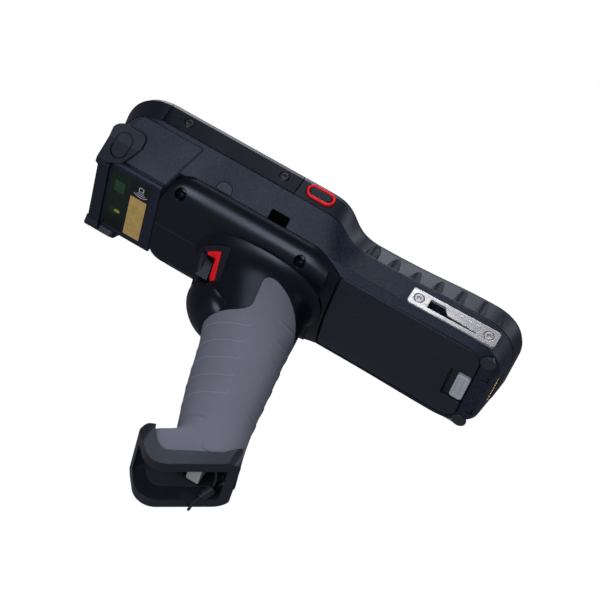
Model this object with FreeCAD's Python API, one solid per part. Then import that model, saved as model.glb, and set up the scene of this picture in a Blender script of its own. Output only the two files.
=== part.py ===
"""Handheld barcode scanner: a screen-and-keypad terminal fixed in a pistol-grip module.

Frame: +Z up, screen on top, grip hanging down, scan window and trigger towards -Y, tail towards +Y.
Every piece is drawn with z = 0 at the terminal's top rim and lifted by TOP_RIM_HEIGHT when it is
written, so that the lowest point of the foot lies on z = 0. Millimetres throughout.
"""
import FreeCAD, Part
import math
import os

V = FreeCAD.Vector
X_AXIS = V(1, 0, 0)
Y_AXIS = V(0, 1, 0)
Z_AXIS = V(0, 0, 1)
ORIGIN = V(0, 0, 0)

# ---- driving dimensions -------------------------------------------------------------------
TOP_RIM_HEIGHT = 153.78     # top rim above the lowest point of the foot
HALF_LENGTH = 106.0         # half of the terminal's length
HEAD_HALF = 42.6            # half-width of the head at its widest plane
TAIL_HALF = 26.9            # half-width of the keypad end beside the waist
TAIL_FLARE = 3.2            # how much wider the keypad end is at its far corners
WIDEST_Z = -3.0             # plane of the widest outline
SEAM_Z = -11.8              # seam between the front and the rear housing
SEAM_GAP = 0.3
MID_BACK_Z = -24.0          # back plane of the rear housing under the grip module
TAIL_BACK_Z = -27.6         # back plane of the rear housing round the battery
BACK_Z = -33.0              # flat back face of hump and grip module
RIM_PROUD = 0.6             # top rim above glass and keys
SKIN = 2.4                  # wall of overmould, rails and bumper
WALL = 2.0                  # wall of the hard housings
FAR = 200                   # larger than the object, for cutting boxes

BUMPER_END = -84.9          # parting line head bumper / rails
RAIL_END = -15.6            # parting line rails / keypad overmould
WAIST_START = -1.0
WAIST_END = 28.0
RIB_FIRST = 33.0            # finger ribs along the keypad end
RIB_PITCH = 11.0
RIB_COUNT = 6

GLASS_HALF = 36.0
GLASS_FRONT = -99.0
GLASS_REAR = 3.0
GLASS_THICK = 1.2
DISPLAY_THICK = 3.0

KEY_TOP_Z = -0.7
KEY_HEIGHT = 3.3
KEY_GAP = 0.3
KEY_PITCH_X = 14.6
KEY_PITCH_Y = 14.4

SIDE_KEY_Y = -5.0
SIDE_KEY_Z = -6.2
SIDE_WALL_TILT = 12.8       # lean of the head's side walls, degrees

WELL_FRONT = 20.9           # battery well and cover
WELL_REAR = 94.0
WELL_HALF = 25.2
WELL_FLOOR = -15.5
COVER_HINGE = (21.75, -31.0)  # y and z of the rounded front edge the cover swings on
LATCH_Y = (86.9, 93.3)
LATCH_HALF = 8.2

BROW_HALF = 23.6            # half-width of the hump's back beside the scan window
BOOT_THICK = 1.7
WINDOW = (19.6, -94.7, -74.3)   # half-width, front, rear of the scan window

SADDLE_FRONT = -69.0
SADDLE_REAR = 20.6
SADDLE_HALF = 30.2
SCREW_X = 24.7
SCREW_YS = (-60.6, 1.7)
HOLE_RADIUS = 2.7

SLEEVE_THICK = 2.2
CORE_THICK = 2.6
FOOT_HALF = 17.2
FOOT_OPENING = 11.3
TRIGGER_HALF = 7.2
TRIGGER_PIVOT = (-31.2, -37.6)


# ---- small tools --------------------------------------------------------------------------
def box(x0, x1, y0, y1, z0, z1):
    return Part.makeBox(x1 - x0, y1 - y0, z1 - z0, V(x0, y0, z0))


def rod(radius, start, end):
    start, end = V(*start), V(*end)
    return Part.makeCylinder(radius, (end - start).Length, start, end - start)


def bezier(*points):
    curve = Part.BezierCurve()
    curve.setPoles([V(*p) for p in points])
    return curve.toShape()


def line(a, b):
    return Part.makeLine(V(*a), V(*b))


def mirrored(shape):
    return shape.mirror(ORIGIN, X_AXIS)


def cut_all(shape, tools):
    for tool in tools:
        shape = shape.cut(tool)
    return shape


def fuse_all(shapes):
    joined = shapes[0]
    for shape in shapes[1:]:
        joined = joined.fuse(shape)
    return joined.removeSplitter()


def biggest(shape):
    return max(shape.Solids, key=lambda s: s.Volume)


def rounded(shape, radius, chosen):
    """Fillet the edges that chosen(edge) picks, or leave the shape if the kernel can't."""
    edges = [e for e in shape.Edges if chosen(e)]
    if not edges:
        return shape
    try:
        done = shape.makeFillet(radius, edges)
        return done if done.isValid() else shape
    except Exception:
        return shape


def rounded_plate(x0, x1, y0, y1, z0, z1, radius):
    plate = box(x0, x1, y0, y1, z0, z1)
    upright = [e for e in plate.Edges if abs(e.tangentAt(e.FirstParameter).z) > 0.99]
    return plate.makeFillet(radius, upright)


def side_profile(x0, x1, edges):
    """Prism along X over a closed profile; edges are tuples of (y, z): 2 points a line, 4 a curve."""
    built = []
    for points in edges:
        full = [(x0, y, z) for y, z in points]
        built.append(line(*full) if len(full) == 2 else bezier(*full))
    return Part.Face(Part.Wire(built)).extrude(V(x1 - x0, 0, 0))


def side_polygon(x0, x1, corners):
    ring = list(corners) + [corners[0]]
    return side_profile(x0, x1, [(a, b) for a, b in zip(ring, ring[1:])])


def slab(wire_low, wire_high):
    return Part.makeLoft([wire_low, wire_high], True, True)


def frustum(low, high):
    """Block between two upright rectangles given as (half_width, y0, y1, z)."""
    def rectangle(half, y0, y1, z):
        return Part.makePolygon([V(-half, y0, z), V(half, y0, z), V(half, y1, z), V(-half, y1, z),
                                 V(-half, y0, z)])
    return slab(rectangle(*low), rectangle(*high))


def capsule_x(length, height, x0, x1):
    """Capsule-shaped plug along X, long way along Y, tilted like the head's side wall."""
    plug = rounded_plate(-height / 2, height / 2, -length / 2, length / 2, x0, x1, height / 2 - 0.01)
    plug.rotate(ORIGIN, Y_AXIS, 90 + SIDE_WALL_TILT)
    plug.translate(V(42.2, SIDE_KEY_Y, SIDE_KEY_Z))
    return plug


def screw(head_radius, head_height, shank_radius, length, socket_radius=None):
    """Pan screw pointing down -Z with its head top at the origin, and a six-sided socket."""
    socket_radius = socket_radius or head_radius * 0.45
    head = Part.makeCylinder(head_radius, head_height, V(0, 0, -head_height))
    head = rounded(head, head_height * 0.4, lambda e: e.BoundBox.ZMin > -0.01)
    shank = Part.makeCylinder(shank_radius, length, V(0, 0, -head_height - length + 0.01))
    corners = [V(socket_radius * math.cos(math.radians(60 * i)),
                 socket_radius * math.sin(math.radians(60 * i)), 0.1) for i in range(7)]
    socket = Part.Face(Part.makePolygon(corners)).extrude(V(0, 0, -head_height * 0.6))
    return head.fuse(shank).cut(socket)


def placed(shape, at, direction):
    """Turn a shape drawn along +Z to point along direction and move it to at."""
    direction = V(*direction)
    direction.normalize()
    moved = shape.copy()
    turn = FreeCAD.Rotation(Z_AXIS, direction)
    moved.Placement = FreeCAD.Placement(V(*at), turn).multiply(moved.Placement)
    return moved


# ---- plan outlines of the terminal --------------------------------------------------------
def plan_outline(z, head_half, tail_half, head_end, tail_end, corner=1.0, flare=TAIL_FLARE):
    """Closed outline of the terminal in the plane z: rounded head, waist, flared tail."""
    cx, cy = 29 * corner, 22.5 * corner
    tail_corner = 20 * corner
    tail_x = tail_half + flare
    half = [
        [(0, head_end), (head_half - cx, head_end)],
        [(head_half - cx, head_end), (head_half - 0.45 * cx, head_end),
         (head_half, head_end + 0.33 * cy), (head_half, head_end + cy)],
        [(head_half, head_end + cy), (head_half, WAIST_START)],
        [(head_half, WAIST_START), (head_half, WAIST_START + 17),
         (tail_half, WAIST_END - 17), (tail_half, WAIST_END)],
        [(tail_half, WAIST_END), (tail_half, 60), (tail_x, 64), (tail_x, tail_end - 18.5)],
        [(tail_x, tail_end - 18.5), (tail_x, tail_end - 7.5),
         (tail_x - 0.37 * tail_corner, tail_end), (tail_x - tail_corner, tail_end)],
        [(tail_x - tail_corner, tail_end), (0, tail_end)],
    ]
    edges = []
    for points in half:
        full = [(x, y, z) for x, y in points]
        edges.append(line(*full) if len(full) == 2 else bezier(*full))
    for points in reversed(half):
        full = [(-x, y, z) for x, y in reversed(points)]
        edges.append(line(*full) if len(full) == 2 else bezier(*full))
    return Part.Wire(edges)


def front_outline(z, inset):
    """Outline of the front half at height z, drawn in by inset on every side."""
    return plan_outline(z, HEAD_HALF - inset, TAIL_HALF - inset,
                        -HALF_LENGTH + inset, HALF_LENGTH - inset)


def front_prism(z0, z1, inset):
    return slab(front_outline(z0, inset), front_outline(z1, inset))


def front_body():
    """Outer form of the front half: walls flare towards the screen, top edge rounded."""
    seam = plan_outline(SEAM_Z, HEAD_HALF - 1.7, TAIL_HALF + 2.0, -HALF_LENGTH + 2.2,
                        HALF_LENGTH - 1.0, flare=2.0)
    widest = front_outline(WIDEST_Z, 0)
    top = front_outline(0, 1.1)
    body = fuse_all([slab(seam, widest), slab(widest, top)])
    return rounded(body, 1.8, lambda e: e.BoundBox.ZMin > -0.01)


def rear_outline(z, inset=0.0):
    """Outline of the rear half: 45 degree head flanks, steep tail flanks."""
    seam_z = SEAM_Z - SEAM_GAP
    share = (seam_z - z) / (seam_z - MID_BACK_Z)
    head_half = 40.9 - 11.9 * share
    tail_half = 29.2 - 1.0 * share
    return plan_outline(z, head_half - inset, tail_half - inset, -104.0 + 2.2 * share + inset,
                        104.8 - 1.8 * share - inset, 1.0 - 0.25 * share, 1.7 - 0.7 * share)


# ---- front half ---------------------------------------------------------------------------
def key_places():
    """Centre, half-width and half-length of every key, by node name."""
    keys = {"scan_key": (0, 20.5, 11.0, 6.0)}
    names = ["key_1", "key_2", "key_3", "key_4", "key_5", "key_6",
             "key_7", "key_8", "key_9", "key_dot", "key_0", "key_enter"]
    for index, name in enumerate(names):
        column, row = index % 3, index // 3
        keys[name] = ((column - 1) * KEY_PITCH_X, 38.0 + row * KEY_PITCH_Y, 6.0, 5.0)
    return keys


def key_cap(place, grow=0.0, bottom=KEY_TOP_Z - KEY_HEIGHT, top=KEY_TOP_Z):
    x, y, half_width, half_length = place
    return rounded_plate(x - half_width - grow, x + half_width + grow,
                         y - half_length - grow, y + half_length + grow, bottom, top, 2.6)


def display_opening(z0, z1, grow=0.0):
    return rounded_plate(-GLASS_HALF - grow, GLASS_HALF + grow,
                         GLASS_FRONT - grow, GLASS_REAR + grow, z0, z1, 4.0)


def keypad_opening(z0, z1):
    return rounded_plate(-22.5, 22.5, 11.5, 92.0, z0, z1, 6.0)


def rail_screw_places():
    return [(sign * 42.0, y) for sign in (1, -1) for y in (-73.8, -23.7)]


def side_cut_tools(clear):
    """Capsule pockets for ring and key in both side walls."""
    ring = capsule_x(14.4 + clear, 7.4 + clear, -4.0, 3)
    return [ring, mirrored(ring)]


def finger_valleys():
    """Shallow upright valleys between the finger ribs of the keypad end."""
    valleys = []
    for index in range(RIB_COUNT + 1):
        y = RIB_FIRST - RIB_PITCH / 2 + index * RIB_PITCH
        reach = TAIL_HALF + TAIL_FLARE * min(max((y - WAIST_END) / 50.0, 0), 1)
        valley = Part.makeCylinder(3.4, 9.0, V(reach + 2.9, y, -11.2))
        valleys += [valley, mirrored(valley)]
    return valleys


def front_pieces():
    """The hard front housing and the skins moulded or fixed round it."""
    outer = front_body()
    core = front_prism(SEAM_Z, -1.6, SKIN)
    skin = outer.cut(front_prism(SEAM_Z - 1, -1.6, SKIN))
    skin = cut_all(skin, [display_opening(-5, 1, KEY_GAP), keypad_opening(-5, 1)])
    gap = SEAM_GAP / 2
    head_bumper = biggest(skin.common(box(-FAR, FAR, -FAR, BUMPER_END - gap, -50, 50)))
    overmould = biggest(skin.common(box(-FAR, FAR, RAIL_END + gap, FAR, -50, 50)))
    overmould = cut_all(overmould, finger_valleys() + side_cut_tools(0.1))
    middle = skin.common(box(-FAR, FAR, BUMPER_END + gap, RAIL_END - gap, -50, 50))
    rail = biggest(middle.common(box(0, FAR, -FAR, FAR, -50, 50)))
    normal = (math.cos(math.radians(SIDE_WALL_TILT)), 0, -math.sin(math.radians(SIDE_WALL_TILT)))
    screws = []
    for x, y in rail_screw_places():
        if x > 0:
            seat = placed(Part.makeCylinder(2.3, 6, V(0, 0, -1.0)), (x, y, -6.6), normal)
            hole = placed(Part.makeCylinder(1.05, 8, V(0, 0, -7)), (x, y, -6.6), normal)
            rail = rail.cut(seat).cut(hole)
            core = cut_all(core, [hole, mirrored(hole)])
            fixing = placed(screw(2.1, 0.9, 1.0, 3.0), (x - 0.05, y, -6.6), normal)
            screws += [fixing, mirrored(fixing)]
    rail = biggest(rail)

    glass_floor = -RIM_PROUD - GLASS_THICK - DISPLAY_THICK
    housing = core.cut(display_opening(glass_floor, 1, 0.1))
    housing = housing.cut(front_prism(SEAM_Z - 1, -7.4, SKIN + WALL))
    housing = housing.cut(display_opening(-9, glass_floor + 0.1, -6.0))
    housing = cut_all(housing, side_cut_tools(0.2))
    for place in key_places().values():
        housing = housing.cut(key_cap(place, KEY_GAP, -9, 1))
    mat_room = rounded_plate(-23, 23, 10.5, 95, -9, KEY_TOP_Z - KEY_HEIGHT, 3.0)
    housing = biggest(housing.cut(mat_room))
    return {"front_housing": housing, "head_bumper": head_bumper,
            "keypad_overmould": biggest(overmould), "side_rail_right": rail,
            "side_rail_left": mirrored(rail), "rail_screws": Part.makeCompound(screws)}


def display_pieces():
    top = -RIM_PROUD
    glass = display_opening(top - GLASS_THICK, top)
    glass = rounded(glass, 0.4, lambda e: e.BoundBox.ZMin > top - 0.01)
    module = rounded_plate(-GLASS_HALF + 1, GLASS_HALF - 1, GLASS_FRONT + 3, GLASS_REAR - 6,
                           top - GLASS_THICK - DISPLAY_THICK + 0.2, top - GLASS_THICK, 2.0)
    return {"display_glass": glass, "display_module": module}


def keypad_pieces():
    """Thirteen key caps over a rubber mat and a switch board."""
    pieces = {}
    mat = rounded_plate(-22.6, 22.6, 11, 94.5, -6.0, -4.9, 2.6)
    for name, place in key_places().items():
        cap = key_cap(place)
        cap = rounded(cap, 0.7, lambda e: e.BoundBox.ZMin > KEY_TOP_Z - 0.01)
        pieces[name] = cap
        x, y = place[0], place[1]
        mat = mat.fuse(Part.makeCylinder(2.4, 0.2, V(x, y, -4.9)))
    pieces["key_mat"] = mat.removeSplitter()
    pieces["key_board"] = rounded_plate(-22.6, 22.6, 11, 94.5, -7.2, -6.0, 2.0)
    return pieces


def side_key_pieces():
    """Red rings let into the overmould and the capsule keys inside them."""
    ring = capsule_x(14.0, 7.0, -3.6, 0.9).cut(capsule_x(11.4, 4.4, -5, 3))
    ring = rounded(ring, 0.5, lambda e: e.BoundBox.XMin > 42.2 and e.Length > 3)
    key = capsule_x(11.0, 4.0, -2.4, 0.7)
    key = rounded(key, 0.4, lambda e: e.BoundBox.XMin > 42.2)
    return {"side_ring_right": ring, "side_ring_left": mirrored(ring),
            "side_button_right": key, "side_button_left": mirrored(key)}


# ---- rear half ----------------------------------------------------------------------------
def rear_form():
    """Outer form of the rear half: flanks, scan hump at the head, block round the battery."""
    seam_z = SEAM_Z - SEAM_GAP
    body = slab(rear_outline(MID_BACK_Z), rear_outline(seam_z))
    tail_low = plan_outline(TAIL_BACK_Z, 25.4, 25.6, -99, 101.2, 0.7, 1.0)
    tail = slab(tail_low, rear_outline(MID_BACK_Z)).common(box(-FAR, FAR, 9, FAR, -60, 0))
    hump = frustum((20.4, -100.0, -69.4, BACK_Z), (39.6, -102.0, -60.2, -14.0))
    hump = hump.common(slab(plan_outline(-40, 43, 30, -100.0, 100), plan_outline(-10, 43, 30, -103, 100)))
    hump = rounded(hump, 3.0, lambda e: abs(e.BoundBox.XLength - 19.2) < 1.5 and e.BoundBox.YMin > -95)
    hump = rounded(hump, 2.0, lambda e: e.BoundBox.XLength < 0.1 and e.BoundBox.ZMax < BACK_Z + 0.1)
    brow = box(-BROW_HALF, BROW_HALF, -95.2, -69.4, BACK_Z, BACK_Z + BROW_HALF - 20.0)
    brow = rounded(brow, 2.4, lambda e: e.BoundBox.YLength > 20 and e.BoundBox.ZMax < BACK_Z + 0.1)
    return fuse_all([body, tail, hump, brow])


def window_opening(z0, z1, grow=0.0):
    half, front, rear = WINDOW
    return rounded_plate(-half - grow, half + grow, front - grow, rear + grow, z0, z1, 1.2)


def well_plan(z0, z1, shrink=0.0):
    """Prism over the battery well's plan: square at the grip, rounded corners at the tail."""
    half, y0, y1 = WELL_HALF - shrink, WELL_FRONT + shrink, WELL_REAR - shrink
    prism = box(-half, half, y0, y1, z0, z1)
    corner = [e for e in prism.Edges
              if abs(e.tangentAt(e.FirstParameter).z) > 0.99 and e.BoundBox.YMin > y0 + 1]
    prism = prism.makeFillet(7.5, corner)
    near = [e for e in prism.Edges
            if e.BoundBox.ZLength > 1 and e.BoundBox.YMax < y0 + 1]
    return prism.makeFillet(2.0, near)


def strap_plate_form(grow=0.0, thick=1.4):
    """Slab lying on the slanted tail flank, where the strap anchor is let in."""
    plate = rounded_plate(-4.3 - grow, 4.3 + grow, -21.9 - grow, 21.9 + grow, -thick, 0.35 + grow, 1.4)
    plate.rotate(ORIGIN, Y_AXIS, 90 + 5.5)
    plate.rotate(ORIGIN, Z_AXIS, -1.4)
    plate.translate(V(30.0, 73.5, -19.8))
    return plate


def strap_tool(shape):
    """Place a shape drawn on the strap plate (x up the flank, y along it, z outwards)."""
    moved = shape.copy()
    moved.rotate(ORIGIN, Y_AXIS, 90 + 5.5)
    moved.rotate(ORIGIN, Z_AXIS, -1.4)
    moved.translate(V(30.0, 73.5, -19.8))
    return moved


STRAP_SLOT = (-2.6, 2.4, -12.6, 12.6)
STRAP_SCREWS = (-17.6, 17.4)


def rear_housing():
    form = rear_form()
    seam_z = SEAM_Z - SEAM_GAP
    hollow = slab(rear_outline(-22.0, WALL + 0.4), rear_outline(seam_z + 1, WALL + 0.4))
    keep_tail = box(-FAR, FAR, WELL_FRONT - WALL, FAR, -60, WELL_FLOOR + WALL)
    shell = form.cut(hollow.cut(keep_tail))
    shell = shell.cut(frustum((17.5, -97.5, -72.5, BACK_Z + WALL), (29.0, -98.5, -66.0, -21.5)))
    shell = shell.cut(well_plan(-60, WELL_FLOOR))
    shell = shell.cut(window_opening(-60, -29, 0.05))
    strap = strap_plate_form(0.05)
    slot = strap_tool(rounded_plate(-3.2, 3.0, -13.4, 13.4, -4.2, 0, 1.2))
    shell = cut_all(shell, [strap, mirrored(strap), slot, mirrored(slot)])
    for y in STRAP_SCREWS:
        bore = strap_tool(Part.makeCylinder(1.05, 4.2, V(0, y, -4.2)))
        shell = cut_all(shell, [bore, mirrored(bore)])
    port = placed(Part.makeCylinder(3.9, 4, V(0, 0, -1.4)), (31.0, -44.4, -21.9), (1, 0, -1))
    pocket = placed(rounded_plate(-2.7, 2.7, -4.7, 4.7, -1.6, 4, 0.8), (31.4, -16.2, -21.1), (1, 0, -1))
    shell = cut_all(shell, [port, pocket])
    for x in (-22.8, 22.8):
        shell = shell.cut(Part.makeCylinder(3.9, 2.2, V(x, 96.4, -28.6)))
        shell = shell.cut(Part.makeCylinder(2.7, 2.4, V(x, 96.4, -26.8)))
        shell = shell.cut(Part.makeCylinder(1.3, 9.0, V(x, 96.4, -25.0)))
    for x in (-SCREW_X, SCREW_X):
        for y in SCREW_YS:
            shell = shell.cut(Part.makeCylinder(1.3, 6.0, V(x, y, -26.0)))
    for x in (-12.6, 12.6):
        shell = shell.cut(box(x - 2.2, x + 2.2, 99.6, 100.6, -29, -26.2))
        shell = shell.cut(box(x - 2.2, x - 1.2, 96.9, 100.6, -29, -26.2))
    shell = shell.cut(box(-9.2, 9.2, 101.6, 110, -22.0, -16.0))
    return biggest(shell)


def housing_gasket():
    seam_z = SEAM_Z - SEAM_GAP
    def ring(z, inset):
        return plan_outline(z, 40.9 - inset, 29.2 - inset, -104.0 + inset, 104.8 - inset, flare=1.7)
    outer = slab(ring(seam_z, 0.9), ring(SEAM_Z, 0.9))
    inner = slab(ring(seam_z - 1, 2.0), ring(SEAM_Z + 1, 2.0))
    return biggest(outer.cut(inner))


def boot_form(grow):
    """The hump's nose, drawn grow thicker on every side, for the rubber boot."""
    slant = grow * 1.414
    low = (20.4 + slant - grow, -100.0 - grow, -60, BACK_Z - grow)
    high = (39.6 + slant, -102.0 - grow, -60, -14.0)
    return frustum(low, high)


def boot_pad(sign):
    """Rounded cutter whose rear edge slants towards the window, square to the 45 degree flank."""
    corners = ((12.0, -8.6), (10.5, -4.0), (6.9, 3.8), (-2.6, 8.2), (-9.4, 8.2), (-9.4, -8.6))
    ring = [V(x, y, -6) for x, y in corners]
    pad = Part.Face(Part.makePolygon(ring + [ring[0]])).extrude(V(0, 0, 14))
    pad = rounded(pad, 3.4, lambda e: e.BoundBox.ZLength > 1 and e.BoundBox.YMin > 8)
    pad = rounded(pad, 1.6, lambda e: e.BoundBox.ZLength > 1 and 3 < e.BoundBox.YMin < 5)
    pad = rounded(pad, 6.0, lambda e: e.BoundBox.ZLength > 1 and e.BoundBox.YMax < -8
                  and e.BoundBox.XMax < 0)
    return placed(pad, (sign * 28.5, -94.6, -26.2), (sign, 0, -1))


def boot_lip(sign):
    """Wedge that thickens a pad towards the window."""
    profile = [(-1.0, -1.0), (-1.0, 0.9), (5.0, 2.2), (9.4, 3.3), (11.8, 2.2), (13.0, -2.0)]
    lean = math.sqrt(0.5)
    ring = [V(sign * (28.5 - lean * (s - h)), -102.5, -26.2 - lean * (s + h)) for s, h in profile]
    return Part.Face(Part.makePolygon(ring + [ring[0]])).extrude(V(0, 15.5, 0))


def oval_ring(length, width, groove):
    """Shallow oval groove, long along the slope, that outlines the pad's detent."""
    outer = rounded_plate(-length / 2, length / 2, -width / 2, width / 2, -1.1, 4, 0.49 * width)
    inner = rounded_plate(groove - length / 2, length / 2 - groove, groove - width / 2,
                          width / 2 - groove, -1.2, 4, 0.49 * width - groove)
    return outer.cut(inner)


def window_boot():
    """Rubber boot: bar across the nose, rounded pads folded over both 45 degree flanks."""
    outer = boot_form(BOOT_THICK)
    region = box(-23.0, 23.0, -FAR, -95.4, -60, -24.0)
    for sign in (1, -1):
        region = region.fuse(boot_pad(sign))
    region = region.fuse(box(-32.0, 32.0, -FAR, -99.5, -60, -21.8))
    boot = outer.common(region)
    for sign in (1, -1):
        boot = boot.fuse(boot_lip(sign).common(region))
    boot = boot.cut(rear_form())
    boot = boot.cut(window_opening(-60, -31, 1.3)).cut(box(-20.9, 20.9, -95.5, -80, -60, -30))
    for sign in (1, -1):
        seat = (sign * 28.5, -95.2, -26.2)
        reach = BOOT_THICK * 1.414 / 2
        face = (seat[0] + sign * reach, seat[1], seat[2] - reach)
        ring = oval_ring(12.6, 8.4, 0.5)
        boot = boot.cut(placed(ring, face, (sign, 0, -1)))
    return Part.makeCompound([piece for piece in boot.Solids if piece.Volume > 20])


def scan_pieces():
    front, rear = WINDOW[1:]
    window = window_opening(BACK_Z + 0.1, BACK_Z + 1.7)
    engine = rounded_plate(-14, 14, front + 1.5, rear - 2.0, -30.8, -20.5, 1.0)
    lens = Part.makeCylinder(3.4, 0.45, V(8.0, -89.0, -31.25))
    aimer = Part.makeCylinder(2.2, 0.45, V(-6.0, -89.0, -31.25))
    engine = fuse_all([engine, lens, aimer])
    return {"scan_window": window, "scan_engine": engine}


def strap_pieces():
    plate = strap_plate_form()
    low, high, start, end = STRAP_SLOT
    slot = strap_tool(rounded_plate(low, high, start, end, -3, 2, 0.8))
    plate = plate.cut(slot)
    tongue = strap_tool(Part.Face(Part.makePolygon([
        V(low - 0.3, start + 7.0, -1.4), V(low - 0.3, end + 0.3, -1.4), V(1.2, end + 0.3, -1.4),
        V(0.3, start + 9.5, -1.4), V(low - 0.3, start + 7.0, -1.4)])).extrude(V(0, 0, 0.9)))
    plate = fuse_all([plate, tongue])
    screws = []
    for y in STRAP_SCREWS:
        plate = plate.cut(strap_tool(Part.makeCylinder(2.5, 3, V(0, y, -0.5))))
        plate = plate.cut(strap_tool(Part.makeCylinder(1.1, 3, V(0, y, -2))))
        fixing = strap_tool(screw(2.3, 0.8, 1.0, 3.0).translated(V(0, y, 0.3)))
        screws += [fixing, mirrored(fixing)]
    plate = biggest(plate)
    return {"strap_plate_right": plate, "strap_plate_left": mirrored(plate),
            "strap_screws": Part.makeCompound(screws)}


def small_rear_pieces():
    plugs = []
    for x in (-22.8, 22.8):
        plug = Part.makeCylinder(3.7, 1.3, V(x, 96.4, -27.8))
        plugs.append(rounded(plug, 0.5, lambda e: e.BoundBox.ZMax < -27.75))
    port = placed(Part.makeCylinder(3.8, 1.3, V(0, 0, -1.25)), (31.0, -44.4, -21.9), (1, 0, -1))
    port = biggest(port.cut(saddle_form()))
    contacts = box(-8.9, 8.9, 101.7, 103.2, -21.7, -16.3)
    for index in range(8):
        x = -7.7 + index * 2.2
        contacts = contacts.fuse(box(x - 0.6, x + 0.6, 103.1, 103.6, -21.0, -17.0))
    return {"tail_plugs": Part.makeCompound(plugs), "side_port_plug": port,
            "tail_contacts": contacts.removeSplitter()}


def inner_pieces(front):
    """Frame, board and screws inside the terminal."""
    frame = slab(plan_outline(-10.4, 36.5, 23.8, -99.5, 99.5, flare=2.0),
                 plan_outline(-9.2, 36.5, 23.8, -99.5, 99.5, flare=2.0))
    frame = frame.cut(rounded_plate(-28, 28, -60, -20, -12, -8, 4)).cut(front)
    board = rounded_plate(-31, 31, -94, 12, -14.2, -12.8, 6)
    board = board.fuse(box(-12, 12, -50, -26, -12.8, -11.2)).fuse(box(-24, -16, -80, -66, -16.0, -14.2))
    fixings = []
    for x, y in ((22.8, 96.4), (-22.8, 96.4)):
        fixings.append(screw(2.6, 1.4, 1.2, 6.0).mirror(ORIGIN, Z_AXIS).translated(V(x, y, -26.0)))
    frame = biggest(frame)
    return {"mid_frame": frame, "main_board": board.removeSplitter(),
            "housing_screws": Part.makeCompound(fixings)}


# ---- battery ------------------------------------------------------------------------------
def battery_cover():
    """Crowned lid over the battery well, flush with the grip module, with the latch recess."""
    def crown(y, peak):
        half = WELL_HALF
        arc = Part.Arc(V(-half, y, TAIL_BACK_Z + 0.3), V(0, y, peak), V(half, y, TAIL_BACK_Z + 0.3))
        sides = [V(half, y, TAIL_BACK_Z + 0.3), V(half, y, -25.2), V(-half, y, -25.2),
                 V(-half, y, TAIL_BACK_Z + 0.3)]
        return Part.Wire([arc.toShape(), Part.makePolygon(sides)])
    lid = Part.makeLoft([crown(WELL_FRONT - 1, -31.6), crown(WELL_REAR + 1, -28.8)], True, True)
    lid = lid.common(well_plan(-60, 0, 0.25))
    lid = rounded(lid, 0.8, lambda e: e.BoundBox.ZMax < -26.8 and e.BoundBox.YMin > WELL_FRONT + 1
                  and e.Length > 4)
    recess = frustum((11.4, 80.2, 94.2, -40), (9.6, 83.6, 94.0, -26.4))
    swing_room = box(-FAR, FAR, WELL_REAR - 0.5, FAR, -60, 0)
    hinge_y, hinge_z = COVER_HINGE
    bead = rod(0.6, (-5, hinge_y, hinge_z), (5, hinge_y, hinge_z))
    ahead = box(-5, 5, WELL_FRONT, hinge_y, -40, hinge_z).cut(bead)
    return biggest(lid.cut(recess).cut(swing_room).cut(ahead).fuse(bead))


def battery_pieces():
    pack = well_plan(-25.1, WELL_FLOOR - 0.8, 1.8).cut(box(-FAR, FAR, WELL_REAR - 2.4, FAR, -60, 0))
    latch = rounded_plate(-LATCH_HALF, LATCH_HALF, LATCH_Y[0], LATCH_Y[1], -28.9, -26.45, 1.6)
    latch = rounded(latch, 0.6, lambda e: e.BoundBox.ZMax < -28.8)
    for y in (LATCH_Y[0] + 1.7, LATCH_Y[1] - 2.0):
        groove = rod(0.7, (-6.2, y, -29.2), (6.2, y, -29.2))
        latch = latch.cut(groove)
    return {"battery_cover": battery_cover(), "battery_pack": pack, "battery_latch": latch}


# ---- grip module --------------------------------------------------------------------------
# Sections of neck and handle: (z, front y, rear y, y of the widest place, half-width)
STEM = [
    (-33.0, -46.5, 19.4, -13.0, 22.0),
    (-35.5, -44.3, 17.0, -13.0, 20.0),
    (-40.0, -41.0, 16.0, -12.0, 17.9),
    (-47.0, -36.4, 16.8, -10.0, 16.8),
    (-56.0, -30.5, 17.9, -7.0, 16.2),
    (-70.0, -21.5, 19.4, -1.0, 16.2),
    (-80.0, -17.4, 21.0, 1.8, 16.4),
    (-100.0, -11.4, 23.9, 6.3, 16.4),
    (-120.0, -4.3, 28.0, 11.3, 16.4),
    (-136.0, 1.0, 32.6, 15.2, 16.4),
]


def stem_section(z, front, rear, widest, half, inset, k=0.60):
    """Egg-shaped closed outline in the plane z; k is how square its corners are."""
    front, rear, half = front + inset, rear - inset, half - inset
    quarter = [
        [(0, front), (k * half, front), (half, widest - k * (widest - front)), (half, widest)],
        [(half, widest), (half, widest + k * (rear - widest)), (k * half, rear), (0, rear)],
    ]
    edges = [bezier(*[(x, y, z) for x, y in q]) for q in quarter]
    edges += [bezier(*[(-x, y, z) for x, y in reversed(q)]) for q in reversed(quarter)]
    return Part.Wire(edges)


def stem(inset=0.0, first=0, last=len(STEM) - 1):
    wires = [stem_section(*row, inset) for row in STEM[first:last + 1]]
    return Part.makeLoft(wires, True, False)


def sleeve_region(grow=0.0):
    """Side profile of what the rubber sleeve covers: collar line, tongue up the back, heel."""
    edges = [
        ((-60, -97), (-22, -71.0)),
        ((-22, -71.0), (-14, -66.8)),
        ((-14, -66.8), (-9.5, -64.4), (-6, -62.4), (-5.6, -58.0)),
        ((-5.6, -58.0), (-7.8, -46)),
        ((-7.8, -46), (-8.4, -42.2), (-6.5, -40.6), (-2.5, -41.0)),
        ((-2.5, -41.0), (5, -42.2), (11.5, -46.5), (15.5, -52.5)),
        ((15.5, -52.5), (40, -98)),
        ((40, -98), (60, -200)),
        ((60, -200), (-60, -200)),
        ((-60, -200), (-60, -97)),
    ]
    return side_profile(-FAR, FAR, edges)


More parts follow.
